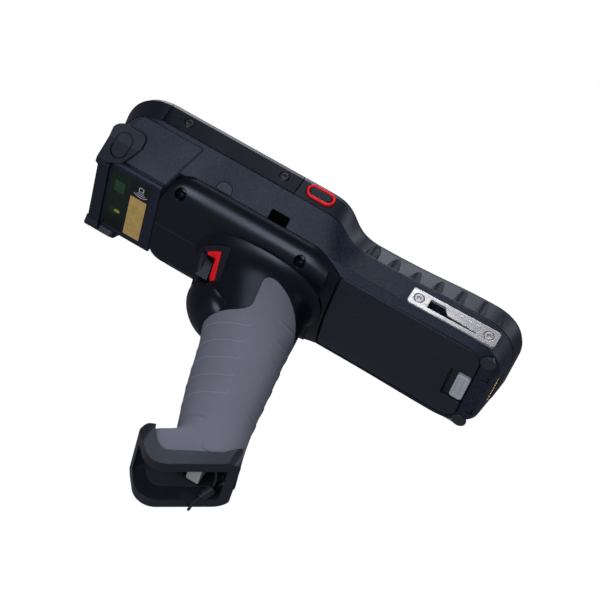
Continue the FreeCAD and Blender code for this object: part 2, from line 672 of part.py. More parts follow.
def foot_band(half):
    """Side profile of the foot frame: sloping base, toe curled up, heel risen; a prism along X."""
    edges = [
        ((31.6, -134.0), (6.3, -152.2)),
        ((6.3, -152.2), (2.2, -154.8), (-3.6, -154.4), (-7.0, -149.4)),
        ((-7.0, -149.4), (-11.6, -144.0)),
        ((-11.6, -144.0), (-13.0, -142.2), (-11.8, -139.6), (-10.4, -139.0)),
        ((-10.4, -139.0), (-7.4, -138.2)),
        ((-7.4, -138.2), (-5.2, -143.6), (-1.5, -147.6), (2.6, -146.2)),
        ((2.6, -146.2), (22.2, -133.4)),
        ((22.2, -133.4), (28.0, -126.4)),
        ((28.0, -126.4), (31.6, -134.0)),
    ]
    return side_profile(-half, half, edges)


def foot_cavity():
    """The open hollow up into the end of the grip."""
    edges = [
        ((27.6, -120.0), (27.6, -137.5)),
        ((27.6, -137.5), (34.0, -200)),
        ((34.0, -200), (-9.6, -200)),
        ((-9.6, -200), (-9.6, -144.5)),
        ((-9.6, -144.5), (-2.0, -134.0)),
        ((-2.0, -134.0), (2.0, -120.0)),
        ((2.0, -120.0), (27.6, -120.0)),
    ]
    hollow = side_profile(-FOOT_OPENING, FOOT_OPENING, edges)
    return rounded(hollow, 3.0, lambda e: e.BoundBox.XLength < 0.1 and e.BoundBox.ZMin < -139
                   and e.BoundBox.YMax < 0)


def under_foot():
    """Everything below the seam between sleeve and foot frame."""
    return side_polygon(-FAR, FAR, [(-40, -138.0), (-7.4, -138.0), (-5.0, -143.0), (-1.0, -146.4),
                                    (2.6, -146.0), (22.2, -133.2), (28.2, -126.0),
                                    (31.9, -134.2), (60, -134.2),
                                    (60, -300), (-40, -300)])


# Sections of the sleeve's lip over the toe: (z, front y, squareness)
TOE = [(-123.0, -2.6, 0.60), (-130.0, -1.9, 0.70), (-133.0, -3.4, 0.82), (-135.2, -5.9, 0.90),
       (-138.0, -9.3, 0.95), (-150.0, -9.4, 0.95)]


def toe():
    """Lip that carries the sleeve forward over the toe of the foot."""
    wires = [stem_section(z, front, 27.0, 8.0, 16.3, 0.0, square) for z, front, square in TOE]
    return Part.makeLoft(wires, True, False).common(box(-FAR, FAR, -FAR, 20.0, -FAR, FAR))


def grip_pieces():
    """Rubber sleeve over a hard core, closed below by the foot frame."""
    outer = fuse_all([stem(0.0, 1), toe()])
    lower = outer.cut(under_foot())
    hollow = foot_cavity().common(box(-FAR, FAR, -FAR, 20.0, -FAR, -130.0))
    sleeve = lower.common(sleeve_region()).cut(stem(SLEEVE_THICK, 1)).cut(hollow)
    core = stem(SLEEVE_THICK, 4).cut(stem(SLEEVE_THICK + CORE_THICK, 3))
    core = core.cut(under_foot())
    floor = stem(SLEEVE_THICK + CORE_THICK, 6, 8).common(box(-FAR, FAR, -FAR, FAR, -118.0, -115.5))
    core = biggest(core.fuse(floor))
    frame = foot_band(FOOT_HALF)
    frame = rounded(frame, 1.4, lambda e: e.BoundBox.XLength < 0.1 and e.BoundBox.ZMax < -133)
    plan = rounded_plate(-FOOT_HALF - 0.01, FOOT_HALF + 0.01, -12.9, 31.9, -160, -120, 6.0)
    frame = biggest(frame.common(plan).cut(foot_cavity()))
    return {"grip_sleeve": biggest(sleeve.cut(frame)), "grip_core": core, "foot_frame": frame}


def saddle_form():
    """Block of the grip module that covers the back of the terminal."""
    def layer(z, half, front, rear, rear_half):
        edges = [
            ((-half + 6, front), (half - 6, front)),
            ((half - 6, front), (half - 1, front), (half, front + 3), (half, front + 8)),
            ((half, front + 8), (half, 2.0)),
            ((half, 2.0), (half, 9), (rear_half + 1.2, 14), (rear_half, rear)),
            ((rear_half, rear), (-rear_half, rear)),
            ((-rear_half, rear), (-rear_half - 1.2, 14), (-half, 9), (-half, 2.0)),
            ((-half, 2.0), (-half, front + 8)),
            ((-half, front + 8), (-half, front + 3), (-half + 1, front), (-half + 6, front)),
        ]
        built = []
        for points in edges:
            full = [(x, y, z) for x, y in points]
            built.append(line(*full) if len(full) == 2 else bezier(*full))
        return Part.Wire(built)
    shoulder = [layer(BACK_Z, 20.0, SADDLE_FRONT, SADDLE_REAR, 17.0),
                layer(-31.8, 24.4, SADDLE_FRONT + 0.4, SADDLE_REAR, 21.5),
                layer(-29.2, 27.8, SADDLE_FRONT + 1.6, SADDLE_REAR, 24.6),
                layer(-24.4, SADDLE_HALF, SADDLE_FRONT + 4.0, SADDLE_REAR, 26.2)]
    top = layer(-19.0, SADDLE_HALF, SADDLE_FRONT + 7.0, SADDLE_REAR, 26.4)
    return fuse_all([Part.makeLoft(shoulder, True, False), slab(shoulder[-1], top)])


def crown_cut():
    """Trims the saddle's rear end down to the battery cover's crown."""
    arc = Part.Arc(V(-25.2, 0, TAIL_BACK_Z + 0.2), V(0, 0, -31.8), V(25.2, 0, TAIL_BACK_Z + 0.2))
    face = Part.Face(Part.Wire([arc.toShape(), Part.makePolygon([
        V(25.2, 0, TAIL_BACK_Z + 0.2), V(60, 0, TAIL_BACK_Z + 0.2), V(60, 0, -60), V(-60, 0, -60),
        V(-60, 0, TAIL_BACK_Z + 0.2), V(-25.2, 0, TAIL_BACK_Z + 0.2)])]))
    tool = face.extrude(V(0, 20, 0))
    tool.rotate(ORIGIN, X_AXIS, 7.0)
    tool.translate(V(0, 12.0, -1.2))
    return tool


def spur():
    """Finger spur under the trigger: a rounded lip with a flat belly."""
    ball = Part.makeSphere(1.0)
    matrix = FreeCAD.Matrix()
    matrix.scale(15.0, 15.4, 9.1)
    blob = ball.transformGeometry(matrix)
    blob.rotate(ORIGIN, X_AXIS, -28)
    blob.translate(V(0, -21.8, -61.4))
    blob = blob.cut(side_polygon(-FAR, FAR, [(-60, -46.4), (0, -68.8), (0, -30), (-60, -30)]))
    return rounded(blob, 0.7, lambda e: e.Length > 20)


def trigger_band(back, top, bottom=-53.7):
    """Side-view wedge ahead of the trigger line; back is how far the band lies forward of the
    neck's edge at its top, and three quarters of that at its bottom."""
    return side_polygon(-FAR, FAR, [(-60, top), (-28.6 - back, top), (-24.6 - 0.75 * back, bottom),
                                    (-60, bottom)])


def neck_nose(inset):
    """The neck's own outer form round the trigger, drawn in by inset."""
    return stem(inset, 0, 5).common(box(-FAR, FAR, -60, -18, -60, -34))


def trigger_pieces():
    """Grey frame, red trim, and the concave trigger hinged at its top between the cheeks."""
    y0, z0 = TRIGGER_PIVOT
    passage = box(-TRIGGER_HALF - 0.4, TRIGGER_HALF + 0.4, -60, -15, -60, -38.6)
    frame = trigger_band(0.15, -36.8, -53.6).cut(trigger_band(3.0, -39.2, -60))
    ears = box(-TRIGGER_HALF - 0.4, TRIGGER_HALF + 0.4, -35.6, -15, -60, -30)
    bezel = neck_nose(0.2).common(frame).cut(passage).cut(ears)
    bezel = bezel.cut(rod(1.05, (-12.0, y0, z0), (12.0, y0, z0)))
    strip = trigger_band(3.2, -39.6, -53.5).cut(trigger_band(4.6, -40.9, -60))
    trim = neck_nose(0.0).common(strip).cut(passage.fuse(box(-8.7, 8.7, -60, -15, -60, -30)))
    ahead = side_profile(-FAR, FAR, [
        ((-60, -30), (-60, -60)),
        ((-60, -60), (-32.6, -60)),
        ((-32.6, -60), (-33.0, -52), (-35.0, -44), (-40.2, -38)),
        ((-40.2, -38), (-41, -30)),
        ((-41, -30), (-60, -30)),
    ])
    bezel = bezel.cut(ahead)
    trim = trim.cut(ahead).cut(bezel)
    blade = side_profile(-TRIGGER_HALF, TRIGGER_HALF, [
        ((-41.0, -39.4), (-36.6, -42.5), (-35.0, -47.5), (-37.2, -52.8)),
        ((-37.2, -52.8), (-30.6, -52.8)),
        ((-30.6, -52.8), (-34.0, -39.4)),
        ((-34.0, -39.4), (-41.0, -39.4)),
    ])
    blade = rounded(blade, 1.0, lambda e: e.BoundBox.XLength < 0.1 and e.BoundBox.YMax < -36.0)
    arm = side_polygon(-4.0, 4.0, [(-36.0, -39.5), (y0 - 1.8, z0 + 0.6), (y0 + 1.8, z0 + 0.6),
                                   (y0 + 1.8, z0 - 1.6), (-32.6, -44.0), (-35.4, -44.0)])
    hub = rod(1.9, (-4.0, y0, z0), (4.0, y0, z0))
    blade = fuse_all([blade, arm, hub]).cut(rod(1.05, (-20, y0, z0), (20, y0, z0)))
    pin = rod(1.0, (-11.6, y0, z0), (11.6, y0, z0))
    coils = []
    for side in (1, -1):
        for turn in range(4):
            coils.append(Part.makeTorus(1.55, 0.28, V(side * (4.7 + 0.7 * turn), y0, z0), X_AXIS))
    switch = box(-4.5, 4.5, -28.9, -24.5, -50.0, -41.0).fuse(box(-1.2, 1.2, -30.6, -28.8, -47.5, -44.5))
    return {"trigger": biggest(blade), "trigger_pin": pin, "trigger_bezel": biggest(bezel),
            "trigger_trim": Part.makeCompound(trim.Solids), "trigger_switch": switch.removeSplitter(),
            "trigger_spring": Part.makeCompound(coils)}


def grip_shells(rear):
    """Left and right halves of saddle, neck and spur, hollow inside."""
    neck = stem(0.0, 0, 6).common(box(-FAR, FAR, -FAR, FAR, -78, 0))
    body = neck.cut(sleeve_region()).fuse(spur().cut(sleeve_region()))
    body = body.fuse(saddle_form().cut(crown_cut())).cut(rear)
    inner = stem(3.0, 0, 6).common(box(-FAR, FAR, -FAR, FAR, -78, -28.0))
    inner = inner.cut(box(-FAR, FAR, -60, -21, -55.9, -34.5)).cut(sleeve_region())
    saddle_room = frustum((15.0, -62.0, 14.0, -30.6), (23.0, -60.0, 15.0, -23.9))
    body = body.cut(saddle_room).cut(inner).cut(trigger_band(0.0, -36.6, -53.8))
    body = body.cut(box(-9.0, 9.0, -36, -24.4, -53.8, -34.6))
    for x in (-SCREW_X, SCREW_X):
        for y in SCREW_YS:
            body = body.cut(Part.makeCylinder(HOLE_RADIUS, 30, V(x, y, -26.0 - 30)))
            body = body.cut(Part.makeCylinder(1.3, 10, V(x, y, -27.0)))
    gap = 0.05
    right = biggest(body.common(box(gap, FAR, -FAR, FAR, -FAR, FAR)))
    left = biggest(body.common(box(-FAR, -gap, -FAR, FAR, -FAR, FAR)))
    return {"grip_shell_right": right, "grip_shell_left": left}


CORD_RADIUS = 0.6
CORD_ROUTE = [(-1.5, 17.7, -129.0), (-1.9, 20.6, -130.0), (-4.2, 23.0, -132.6), (-7.2, 23.4, -136.4),
              (-9.4, 21.2, -140.6), (-11.2, 19.6, -144.4), (-14.6, 19.0, -146.6), (-18.3, 18.6, -144.0),
              (-19.0, 18.4, -139.6)]


def cord_tube(route, radius):
    """Tube of straight runs joined by tangent arcs; prints the arc radii and the tube's volume."""
    points = [V(*p) for p in route]
    edges, radii, at = [], [], points[0]
    for before, corner, after in zip(points, points[1:], points[2:]):
        into, out = corner - before, after - corner
        turn = into.getAngle(out)
        reach = 0.45 * min(into.Length, out.Length)
        radii.append(reach / math.tan(turn / 2))
        into.normalize()
        out.normalize()
        start, end = corner - into * reach, corner + out * reach
        bisector = out - into
        bisector.normalize()
        centre = corner + bisector * (radii[-1] / math.cos(turn / 2))
        inward = corner - centre
        inward.normalize()
        edges += [Part.makeLine(at, start), Part.Arc(start, centre + inward * radii[-1], end).toShape()]
        at = end
    edges.append(Part.makeLine(at, points[-1]))
    path = Part.Wire(edges)
    first = points[1] - points[0]
    mouth = Part.Wire([Part.Edge(Part.Circle(points[0], first, radius))])
    tube = path.makePipeShell([mouth], True, True)
    print("cord radii", [round(r, 2) for r in radii], "length", round(path.Length, 2),
          "volume share", round(tube.Volume / (math.pi * radius ** 2 * path.Length), 4))
    return tube


def grip_hardware():
    """Saddle screws, the metal bracket in the foot, and the cord with its lock."""
    fixings = []
    for x in (-SCREW_X, SCREW_X):
        for y in SCREW_YS:
            fixings.append(screw(2.5, 1.5, 1.2, 3.6).mirror(ORIGIN, Z_AXIS).translated(V(x, y, -27.6)))
    bracket = rounded_plate(-6.5, 4.5, 11.5, 17.5, -138.5, -118.0, 1.0)
    cord = cord_tube(CORD_ROUTE, CORD_RADIUS)
    knot = Part.makeSphere(1.5, V(*CORD_ROUTE[-1]) + V(-0.1, -0.1, 1.2))
    before, after = V(*CORD_ROUTE[3]), V(*CORD_ROUTE[4])
    along = after - before
    middle = (before + after) * 0.5
    lock = placed(Part.makeCylinder(2.3, 5.6, V(0, 0, -3.4)), middle, along)
    lock = rounded(lock, 0.7, lambda e: e.Length > 10)
    tip = placed(Part.makeCylinder(1.7, 1.4, V(0, 0, 2.1)), middle, along)
    bore = placed(Part.makeCylinder(1.15, 14, V(0, 0, -7)), middle, along)
    lock = fuse_all([lock, tip]).cut(bore)
    return {"saddle_screws": Part.makeCompound(fixings), "grip_bracket": bracket,
            "lanyard_cord": cord, "lanyard_knot": knot.cut(cord), "cord_lock": lock}


# ---- everything ---------------------------------------------------------------------------
def build():
    pieces = {}
    pieces.update(front_pieces())
    pieces.update(display_pieces())
    pieces.update(keypad_pieces())
    pieces.update(side_key_pieces())
    rear = rear_housing()
    pieces["rear_housing"] = rear
    pieces["housing_gasket"] = housing_gasket()
    pieces["window_boot"] = window_boot()
    pieces.update(scan_pieces())
    pieces.update(strap_pieces())
    pieces.update(small_rear_pieces())
    pieces.update(inner_pieces(pieces["front_housing"]))
    pieces.update(battery_pieces())
    pieces.update(grip_shells(rear_form()))
    pieces.update(trigger_pieces())
    pieces.update(grip_pieces())
    shells = pieces["grip_shell_right"].fuse(pieces["grip_shell_left"])
    pieces["grip_core"] = biggest(pieces["grip_core"].cut(shells))
    pieces.update(grip_hardware())
    return pieces


if __name__ == "__main__":
    os.makedirs("parts", exist_ok=True)
    for name, shape in build().items():
        print(name, shape.ShapeType, shape.isValid(), len(shape.Solids), round(shape.Volume, 1))
        lifted = shape.copy()
        lifted.translate(V(0, 0, TOP_RIM_HEIGHT))
        lifted.exportStep("parts/" + name + ".step")
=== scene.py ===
"""Handheld barcode scanner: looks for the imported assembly, in metres, on the part's own frame."""
import bmesh
import bpy
import math
from mathutils import Matrix, Vector
from mathutils.bvhtree import BVHTree


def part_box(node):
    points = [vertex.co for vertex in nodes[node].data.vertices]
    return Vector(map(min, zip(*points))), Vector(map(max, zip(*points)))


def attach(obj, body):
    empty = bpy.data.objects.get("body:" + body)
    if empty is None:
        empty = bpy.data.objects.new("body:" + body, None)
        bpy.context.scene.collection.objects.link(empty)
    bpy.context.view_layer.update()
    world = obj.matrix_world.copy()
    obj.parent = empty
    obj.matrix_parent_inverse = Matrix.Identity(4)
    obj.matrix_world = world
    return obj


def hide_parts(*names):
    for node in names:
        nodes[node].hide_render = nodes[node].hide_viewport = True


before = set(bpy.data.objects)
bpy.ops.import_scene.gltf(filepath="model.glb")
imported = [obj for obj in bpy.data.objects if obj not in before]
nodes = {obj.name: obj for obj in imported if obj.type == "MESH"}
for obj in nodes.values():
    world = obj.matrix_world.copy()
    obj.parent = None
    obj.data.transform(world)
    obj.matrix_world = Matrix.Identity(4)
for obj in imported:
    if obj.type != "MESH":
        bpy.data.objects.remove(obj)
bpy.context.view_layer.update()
scene = bpy.context.scene

# ---- viewpoint and studio -----------------------------------------------------------------
# The scanner is held up and seen from below its left flank, in a white studio with soft boxes.
# It stands on nothing, so the floor, at the end of this file, lies well below it.
looking = Vector((-0.77343, -0.13836, 0.61859))
upward = Vector((0.59609, -0.49068, 0.63554))
sideways = looking.cross(upward)
eye = Vector((0.60959, 0.11670, -0.36410))

lens = bpy.data.cameras.new("studio_camera")
lens.lens = 103.66
lens.sensor_width = 36.0
lens.clip_start = 0.01
camera = bpy.data.objects.new("studio_camera", lens)
camera.matrix_world = Matrix((
    (sideways.x, upward.x, -looking.x, eye.x),
    (sideways.y, upward.y, -looking.y, eye.y),
    (sideways.z, upward.z, -looking.z, eye.z),
    (0.0, 0.0, 0.0, 1.0),
))
scene.collection.objects.link(camera)
scene.camera = camera
scene.view_settings.view_transform = "Standard"


SCANNER_MIDDLE = Vector((0.0, 0.0, 0.10))


def softbox(name, across, above, nearer, width, height, power):
    """Rectangular light placed by how far it is right of, above and in front of the scanner."""
    place = SCANNER_MIDDLE + sideways * across + upward * above - looking * nearer
    lamp = bpy.data.lights.new(name, "AREA")
    lamp.shape = "RECTANGLE"
    lamp.size = width
    lamp.size_y = height
    lamp.energy = power
    box = bpy.data.objects.new(name, lamp)
    aim = (SCANNER_MIDDLE - place).normalized().to_track_quat("-Z", "Y")
    box.matrix_world = Matrix.Translation(place) @ aim.to_matrix().to_4x4()
    scene.collection.objects.link(box)


softbox("front_softbox", -0.42, 0.02, 1.20, 0.6, 0.6, 6.0)
softbox("rim_softbox", 0.25, 1.00, -0.45, 1.2, 0.40, 8.0)
softbox("side_softbox", 1.1, 0.30, -0.10, 0.4, 0.9, 3.0)
softbox("plate_softbox", 0.25, 0.90, 0.36, 0.30, 0.30, 0.8)

BOUNCE_COLOUR = (0.86, 0.89, 1.0, 1.0)
BOUNCE_STRENGTH = 0.14
world = bpy.data.worlds.new("white_studio")
world.use_nodes = True
scene.world = world
sky = world.node_tree
dim = sky.nodes["Background"]
dim.inputs["Color"].default_value = BOUNCE_COLOUR
dim.inputs["Strength"].default_value = BOUNCE_STRENGTH
backdrop = sky.nodes.new("ShaderNodeBackground")
backdrop.inputs["Color"].default_value = (1.0, 1.0, 1.0, 1.0)
seen = sky.nodes.new("ShaderNodeLightPath")
either = sky.nodes.new("ShaderNodeMixShader")
sky.links.new(seen.outputs["Is Camera Ray"], either.inputs[0])
sky.links.new(dim.outputs[0], either.inputs[1])
sky.links.new(backdrop.outputs[0], either.inputs[2])
sky.links.new(either.outputs[0], sky.nodes["World Output"].inputs["Surface"])

# ---- lanyard cord ---------------------------------------------------------------------------
# A thin woven cord leaves the pale block in the foot, passes through a plastic cord lock and over
# the foot's rim, and ends in an overhand knot. It is limp and all of it is in sight.
class Wire:
    """One output of a finish's node, for use in ordinary arithmetic."""

    def __init__(self, finish, socket):
        self.finish = finish
        self.socket = socket

    def maths(self, operation, first, second):
        return self.finish.node("ShaderNodeMath", {"operation": operation}, {0: first, 1: second})

    def __add__(self, other):
        return self.maths("ADD", self, other)

    def __radd__(self, other):
        return self.maths("ADD", other, self)

    def __mul__(self, other):
        return self.maths("MULTIPLY", self, other)

    def __rmul__(self, other):
        return self.maths("MULTIPLY", other, self)

    def __gt__(self, other):
        return self.maths("GREATER_THAN", self, other)

    def __lt__(self, other):
        return self.maths("LESS_THAN", self, other)

    def size(self):
        return self.maths("ABSOLUTE", self, 0.0)


EDGE_ROUNDING = 0.0005


class Finish:
    """A material being mixed: plain values go to the shader, node() adds what varies."""

    def __init__(self, name, **values):
        self.material = bpy.data.materials.new(name)
        self.material.use_nodes = True
        self.tree = self.material.node_tree
        self.shader = self.tree.nodes["Principled BSDF"]
        for socket, value in values.items():
            self.shader.inputs[socket.replace("_", " ")].default_value = value
        self.place = self.node("ShaderNodeTexCoord", {}, {}, "Object")

    def node(self, kind, settings, values, out=0):
        made = self.tree.nodes.new(kind)
        for name, value in settings.items():
            setattr(made, name, value)
        for name, value in values.items():
            self.feed(made.inputs[name], value)
        return Wire(self, made.outputs[out])

    def feed(self, socket, value):
        if isinstance(value, Wire):
            self.tree.links.new(value.socket, socket)
        else:
            socket.default_value = value

    def grains(self, size, detail=2.0, roughness=0.5):
        """Even noise whose blotches are about size metres across."""
        return self.node("ShaderNodeTexNoise", {}, {
            "Vector": self.place, "Scale": 1.0 / size, "Detail": detail, "Roughness": roughness})

    def spread(self, wire, low, high, to_low=0.0, to_high=1.0):
        """Stretch a number from one span to another, held at the ends."""
        return self.node("ShaderNodeMapRange", {}, {
            "Value": wire, "From Min": low, "From Max": high, "To Min": to_low, "To Max": to_high})

    def blend(self, share, first, second):
        """Colour between two colours, by share."""
        return self.node("ShaderNodeMix", {"data_type": "RGBA"}, {0: share, 6: first, 7: second}, 2)

    def axis(self, letter):
        return self.node("ShaderNodeSeparateXYZ", {}, {0: self.place}, letter)

    def colour(self, wire):
        self.feed(self.shader.inputs["Base Color"], wire)

    def rough(self, wire):
        self.feed(self.shader.inputs["Roughness"], wire)

    def colour_so_far(self):
        return Wire(self, self.shader.inputs["Base Color"].links[0].from_socket)

    def relief(self, height, depth):
        """Fine surface relief, with the sharp edges of the mesh shaded as if rounded."""
        edge = self.node("ShaderNodeBevel", {"samples": 6}, {"Radius": EDGE_ROUNDING})
        bump = self.node("ShaderNodeBump", {}, {
            "Height": height, "Distance": depth, "Strength": 1.0, "Normal": edge})
        self.feed(self.shader.inputs["Normal"], bump)

    def onto(self, *names):
        for name in names:
            slots = nodes[name].material_slots
            if not slots:
                nodes[name].data.materials.append(self.material)
            for slot in slots:
                slot.material = self.material


def tone(red, green, blue, share=1.0):
    return (red * share, green * share, blue * share, 1.0)


CORD_THICKNESS = 0.0012
route = [(-1.5, 17.7, 24.78), (-1.9, 20.6, 23.78), (-4.2, 23.0, 21.18), (-7.2, 23.4, 17.38),
         (-9.4, 21.2, 13.18), (-11.2, 19.6, 9.38), (-14.6, 19.0, 7.18), (-18.3, 18.6, 9.78),
         (-19.0, 18.4, 14.18)]
cord_line = bpy.data.curves.new("lanyard", "CURVE")
cord_line.dimensions = "3D"
cord_line.bevel_depth = CORD_THICKNESS / 2
cord_line.bevel_resolution = 3
cord_line.use_fill_caps = True
run = cord_line.splines.new("NURBS")
run.points.add(len(route) - 1)
for point, place in zip(run.points, route):
    point.co = (place[0] / 1000, place[1] / 1000, place[2] / 1000, 1.0)
run.order_u = 3
run.use_endpoint_u = True
lanyard = bpy.data.objects.new("lanyard", cord_line)
scene.collection.objects.link(lanyard)

braid = Finish("cord_braid", Roughness=0.75)
twill = braid.node("ShaderNodeTexWave", {}, {
    "Vector": braid.place, "Scale": 900.0, "Distortion": 1.0})
braid.colour(braid.blend(twill, tone(0.010, 0.010, 0.012), tone(0.030, 0.030, 0.034)))
braid.relief(twill, 0.00006)
cord_line.materials.append(braid.material)
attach(lanyard, "terminal")
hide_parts("lanyard_cord")

KNOT_STEPS = 48
STRAND_RADIUS = 0.00046
KNOT_CLEARANCE = 0.00050
knot_line = bpy.data.curves.new("end_knot", "CURVE")
knot_line.dimensions = "3D"
knot_line.bevel_depth = STRAND_RADIUS
knot_line.bevel_resolution = 2
turns = knot_line.splines.new("POLY")
turns.points.add(KNOT_STEPS - 1)
knot_low, knot_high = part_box("lanyard_knot")
knot_middle = (knot_low + knot_high) / 2
knot_size = (knot_high.x - knot_low.x) / 2 - KNOT_CLEARANCE
for step, point in enumerate(turns.points):
    angle = 2 * math.pi * step / KNOT_STEPS
    bulge = 0.62 + 0.36 * math.cos(3 * angle)
    around = Vector((
        math.cos(2 * angle) * bulge, math.sin(2 * angle) * bulge, 0.60 * math.sin(3 * angle)))
    point.co = (*(knot_middle + around * knot_size), 1.0)
turns.use_cyclic_u = True


def settled(draft):
    """Plain mesh of an object as its curve, text or modifiers make it."""
    return bpy.data.meshes.new_from_object(
        draft.evaluated_get(bpy.context.evaluated_depsgraph_get()))


def smooth(mesh):
    for polygon in mesh.polygons:
        polygon.use_smooth = True


knot_draft = bpy.data.objects.new("knot_draft", knot_line)
scene.collection.objects.link(knot_draft)
knot_mesh = settled(knot_draft)
bpy.data.objects.remove(knot_draft)
knot_mesh.materials.clear()
knot_mesh.materials.append(braid.material)
smooth(knot_mesh)
end_knot = bpy.data.objects.new("end_knot", knot_mesh)
scene.collection.objects.link(end_knot)
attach(end_knot, "terminal")
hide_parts("lanyard_knot")


def moulded(name, shade, gloss, grain, depth, contrast):
    """Moulded plastic or rubber: grainy, with broad uneven sheen and a few faint scuffs."""
    finish = Finish(name, IOR=1.45, Specular_Tint=(0.66, 0.78, 1.0, 1.0))
    fine = finish.grains(grain, 3.0, 0.6)
    broad = finish.grains(0.035, 2.0)
    scuff = finish.spread(finish.grains(0.004, 6.0, 0.75), 0.62, 0.74)
    light = finish.spread(fine, 0.35, 0.70)
    mixed = finish.blend(light, tone(*shade, 1.0 - contrast), tone(*shade, 1.0 + contrast))
    mixed = finish.blend(0.22 * finish.spread(broad, 0.3, 0.7), mixed, tone(*shade, 1.7))
    finish.colour(finish.blend(0.18 * scuff, mixed, tone(*shade, 2.6)))
    finish.rough(finish.spread(broad, 0.3, 0.7, gloss - 0.05, gloss + 0.06) + 0.08 * scuff)
    finish.relief(fine, depth)
    return finish


lock_finish = moulded("cord_lock", (0.022, 0.022, 0.028), 0.35, 0.0005, 0.00001, 0.2)
lock_finish.onto("cord_lock")

# ---- moulded housings -----------------------------------------------------------------------
# Front and rear halves of the terminal and the battery lid are moulded in blue-black plastic. The
# halves have a coarse spark-eroded texture, a fine sparkle of lighter and darker grains.
housing = moulded("textured_housing", (0.0120, 0.0155, 0.0330), 0.50, 0.00085, 0.00010, 0.75)
housing.onto("front_housing", "rear_housing")
lid = moulded("battery_lid", (0.0165, 0.0188, 0.0275), 0.36, 0.00060, 0.00003, 0.35)
lid.onto("battery_cover")

# ---- overmoulded rubber and side rails -------------------------------------------------------
# The bumper round the head, the ribbed keypad surround and the window boot are satin rubber. The
# rails beside the screen are hard, darker strips, each held by two screws.
rubber = moulded("overmould_rubber", (0.0070, 0.0082, 0.0150), 0.42, 0.00045, 0.00002, 0.30)
rubber.onto("head_bumper", "keypad_overmould")
rail = moulded("rail_plastic", (0.0020, 0.0026, 0.0055), 0.30, 0.00045, 0.00001, 0.25)
rail.shader.inputs["Specular IOR Level"].default_value = 0.25
rail.onto("side_rail_right", "side_rail_left")
boot_rubber = moulded("boot_rubber", (0.0120, 0.0128, 0.0210), 0.50, 0.00040, 0.00002, 0.25)
boot_rubber.onto("window_boot")

# ---- grip module shells and foot --------------------------------------------------------------
# Saddle, neck and finger spur are two mirrored halves in smooth plastic, glossier than the
# terminal. An open black frame closes the foot, and a pale block inside it holds the lanyard.
shell = moulded("grip_shell", (0.0042, 0.0048, 0.0085), 0.30, 0.00050, 0.000012, 0.25)
shell.onto("grip_shell_right", "grip_shell_left")
foot = moulded("foot_plastic", (0.0180, 0.0185, 0.0260), 0.32, 0.00050, 0.000015, 0.30)
foot.onto("foot_frame")
bracket = moulded("bracket_grey", (0.42, 0.42, 0.42), 0.42, 0.0006, 0.00002, 0.10)
bracket.onto("grip_bracket")

# ---- rubber sleeve ---------------------------------------------------------------------------
# A soft grey sleeve is pulled over the grip's hard core. Five thin raised lines run round its
# front, each ending in a small hook, and six broader arched ribs lie across its back.
sleeve = moulded("sleeve_rubber", (0.195, 0.198, 0.258), 0.64, 0.00035, 0.00002, 0.10)
# Inside the cavity's half-width, fading out by the wall's, and below the cavity top, the sleeve is
# darkened to near black: painted shade in its hollow.
CAVITY_HALF = 0.0112
WALL_HALF = 0.0128
CAVITY_TOP = 0.0225
cavity_painted_shade = sleeve.spread(sleeve.axis("X").size(), WALL_HALF, CAVITY_HALF)
cavity_painted_shade = cavity_painted_shade * (sleeve.axis("Z") < CAVITY_TOP)
sleeve.colour(sleeve.blend(cavity_painted_shade, sleeve.colour_so_far(), tone(0.02, 0.02, 0.026)))
sleeve.onto("grip_sleeve")
core = moulded("grip_core", (0.012, 0.012, 0.016), 0.5, 0.0006, 0.00002, 0.3)
core.onto("grip_core")

sleeve_mesh = nodes["grip_sleeve"].data
sleeve_skin = BVHTree.FromPolygons(
    [v.co for v in sleeve_mesh.vertices], [tuple(p.vertices) for p in sleeve_mesh.polygons])

GRIP_AXIS_TOP = 0.0838
GRIP_AXIS_TOP_Y = -0.0010
GRIP_RAKE = 0.245
CLEAR_OF_GRIP = 0.06


def on_sleeve(turn, level, sunk):
    """Point sunk under the sleeve's outside, turn in degrees from straight ahead."""
    middle = Vector((0.0, GRIP_AXIS_TOP_Y + (GRIP_AXIS_TOP - level) * GRIP_RAKE, level))
    outwards = Vector((math.sin(math.radians(turn)), -math.cos(math.radians(turn)), 0.0))
    found = sleeve_skin.ray_cast(middle + outwards * CLEAR_OF_GRIP, -outwards)
    return found[0] - outwards * sunk


FRONT_LINES = 5
FRONT_LINE_TOP = 0.0790
FRONT_LINE_PITCH = 0.0094
FRONT_LINE_RADIUS = 0.00030
FRONT_LINE_SUNK = 0.00012
FRONT_LINE_RISE = 0.0049
HOOK = [(91.0, 0.0053), (93.5, 0.0061), (93.0, 0.0069), (90.5, 0.0072)]


def front_line(first_level):
    """Hooked line round the front, rising towards both ends."""
    places = [(step * 4.0, first_level + FRONT_LINE_RISE * (step * 4.0 / 90) ** 2)
              for step in range(-22, 23)]
    ends = [(turn, first_level + rise) for turn, rise in HOOK]
    places = [(-turn, level) for turn, level in reversed(ends)] + places + ends
    return [on_sleeve(turn, level, FRONT_LINE_SUNK) for turn, level in places]


BACK_RIBS = 6
BACK_RIB_TOP = 0.0968
BACK_RIB_PITCH = 0.0100
BACK_RIB_RADIUS = 0.00175
BACK_RIB_SUNK = 0.00145
BACK_RIB_ARCH = 0.0040
BACK_RIB_REACH = 50.4


def back_rib(first_level):
    """Arched rib across the back, highest in the middle, reaching so many degrees each way."""
    points = []
    for step in range(-14, 15):
        turn = step * BACK_RIB_REACH / 14
        level = first_level + BACK_RIB_ARCH * (1 - abs(turn) / BACK_RIB_REACH) ** 2
        points.append(on_sleeve(180 + turn, level, BACK_RIB_SUNK))
    return points


END_SHARE = 0.35
FULL_FROM = 0.10


